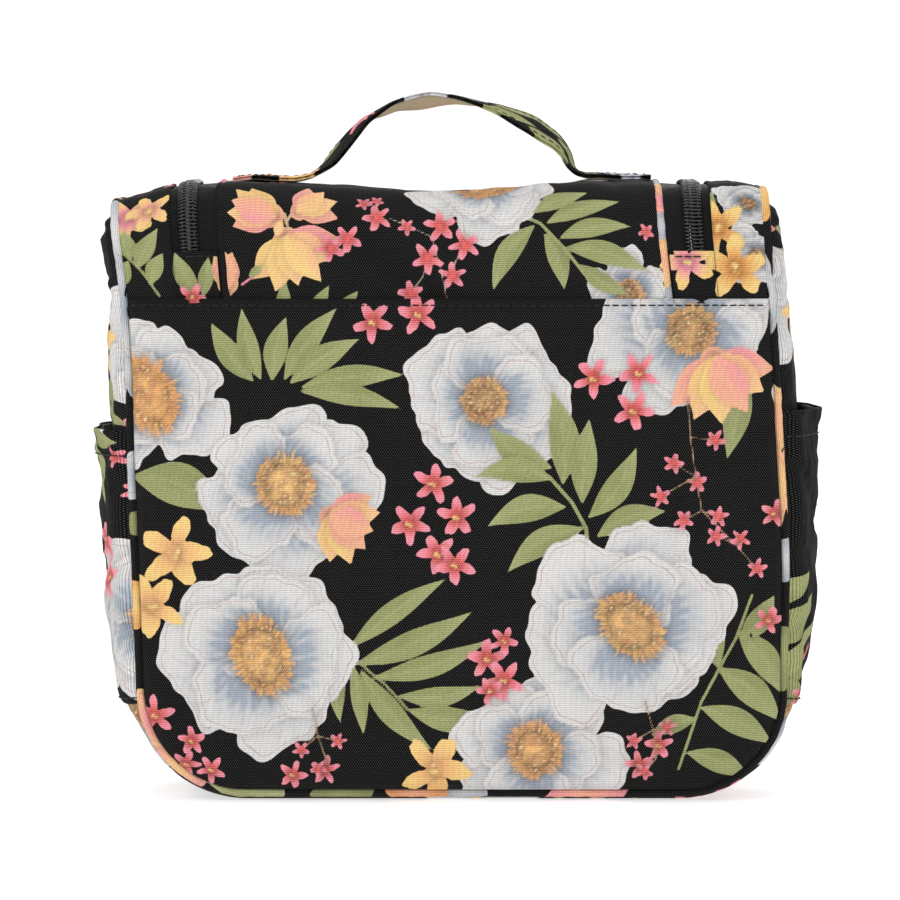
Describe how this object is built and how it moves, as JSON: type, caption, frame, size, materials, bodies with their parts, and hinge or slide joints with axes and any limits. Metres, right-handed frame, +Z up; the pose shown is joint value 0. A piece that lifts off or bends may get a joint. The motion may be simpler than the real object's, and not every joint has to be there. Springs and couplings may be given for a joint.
{
  "type": "hanging toiletry bag",
  "caption": "Soft box toiletry bag with a U-zipped fold-out flap, carry handle, end pockets, inner pockets and a swivel hanging hook.",
  "frame": {"origin": "middle of the base, on the ground plane the bag stands on", "axes": "+Z up, +X to the right of a viewer facing the back, +Y from the back towards the front that unzips"},
  "size_m": [0.249, 0.0939, 0.2517],
  "materials": {
    "printed_cloth": "plain-weave polyester, black with a printed flower pattern, low sheen",
    "strap_cloth": "folded printed strap, edge stitched",
    "piping_cloth": "bias-cut printed cloth over cord",
    "piping_cord": "twisted cotton filler cord",
    "foam": "closed-cell foam sheet",
    "lining": "plain black lining cloth",
    "inner_cloth": "plain black cloth",
    "elastic": "knitted elastic band",
    "mesh": "open warp-knit mesh",
    "zip_tape": "woven polyester zip tape",
    "zip_coil": "satin",
    "zip_metal": "satin black",
    "hook_metal": "bright nickel plate"
  },
  "bodies": {
    "bag_body": {"back_foam": "foam", "back_lining": "lining", "back_panel": "printed_cloth", "body_piping": "piping_cloth", "body_piping_cord": "piping_cord", "border_foam": "foam", "border_lining": "lining", "border_panel": "printed_cloth", "gusset_foam": "foam", "gusset_lining": "lining", "gusset_panel": "printed_cloth", "side_pocket_left": "printed_cloth", "side_pocket_right": "printed_cloth", "slip_pocket": "inner_cloth", "slip_pocket_band": "elastic", "yoke_foam": "foam", "yoke_lining": "lining", "yoke_panel": "printed_cloth", "yoke_piping": "piping_cloth", "yoke_piping_cord": "piping_cord", "zip_coil_body": "zip_coil", "zip_coil_yoke": "zip_coil", "zip_end_tab_left": "printed_cloth", "zip_end_tab_right": "printed_cloth", "zip_tape_body": "zip_tape", "zip_tape_yoke": "zip_tape"},
    "top_flap": {"handle_end_left": "strap_cloth", "handle_end_right": "strap_cloth", "top_foam": "foam", "top_lining": "lining", "top_panel": "printed_cloth", "top_piping": "piping_cloth", "top_piping_cord": "piping_cord", "zip_coil_top": "zip_coil", "zip_tape_top": "zip_tape"},
    "front_flap": {"flap_foam": "foam", "flap_lining": "lining", "flap_panel": "printed_cloth", "flap_piping": "piping_cloth", "flap_piping_cord": "piping_cord", "hook_tab": "inner_cloth", "mesh_pocket": "mesh", "mesh_pocket_coil": "zip_coil", "mesh_pocket_tape": "zip_tape", "zip_coil_flap": "zip_coil", "zip_tape_flap": "zip_tape"},
    "handle_arch": {"handle_strap": "strap_cloth"},
    "left_slider": {"left_slider": "zip_metal"},
    "left_pull": {"left_pull": "zip_metal"},
    "right_slider": {"right_slider": "zip_metal"},
    "right_pull": {"right_pull": "zip_metal"},
    "mesh_slider": {"mesh_slider": "zip_metal"},
    "mesh_pull": {"mesh_pull": "zip_metal"},
    "hook_ring": {"hook_ring": "hook_metal"},
    "hook": {"hook": "hook_metal"}
  },
  "joints": [
    {"name": "flap_top_fold", "type": "hinge", "parent": "bag_body", "child": "top_flap", "pos_m": [0, -0.04016, 0.21616], "axis": [1, 0, 0], "range_deg": [0, 110]},
    {"name": "flap_front_fold", "type": "hinge", "parent": "top_flap", "child": "front_flap", "pos_m": [0, 0.04016, 0.21616], "axis": [1, 0, 0], "range_deg": [0, 110]},
    {"name": "handle_tilt", "type": "hinge", "parent": "top_flap", "child": "handle_arch", "pos_m": [0, 0, 0.23], "axis": [1, 0, 0], "range_deg": [-60, 60]},
    {"name": "left_slider_travel", "type": "slide", "parent": "front_flap", "child": "left_slider", "axis": [-1, 0, 0], "range_m": [0, 0.04]},
    {"name": "left_pull_swing", "type": "hinge", "parent": "left_slider", "child": "left_pull", "pos_m": [-0.0074, 0.0468, 0.0265], "axis": [0, 0, -1], "range_deg": [0, 100]},
    {"name": "right_slider_travel", "type": "slide", "parent": "front_flap", "child": "right_slider", "axis": [1, 0, 0], "range_m": [0, 0.04]},
    {"name": "right_pull_swing", "type": "hinge", "parent": "right_slider", "child": "right_pull", "pos_m": [0.0074, 0.0468, 0.0265], "axis": [0, 0, 1], "range_deg": [0, 100]},
    {"name": "mesh_slider_travel", "type": "slide", "parent": "front_flap", "child": "mesh_slider", "axis": [1, 0, 0], "range_m": [0, 0.1]},
    {"name": "mesh_pull_swing", "type": "hinge", "parent": "mesh_slider", "child": "mesh_pull", "pos_m": [-0.05, 0.03001, 0.16], "axis": [0, 0, -1], "range_deg": [0, 165]},
    {"name": "hook_ring_swing", "type": "hinge", "parent": "front_flap", "child": "hook_ring", "pos_m": [0, 0.0175, 0.058], "axis": [1, 0, 0], "range_deg": [0, 180]},
    {"name": "hook_swivel", "type": "hinge", "parent": "hook_ring", "child": "hook", "pos_m": [0, 0.0175, 0.067], "axis": [0, 0, 1], "continuous": true}
  ]
}
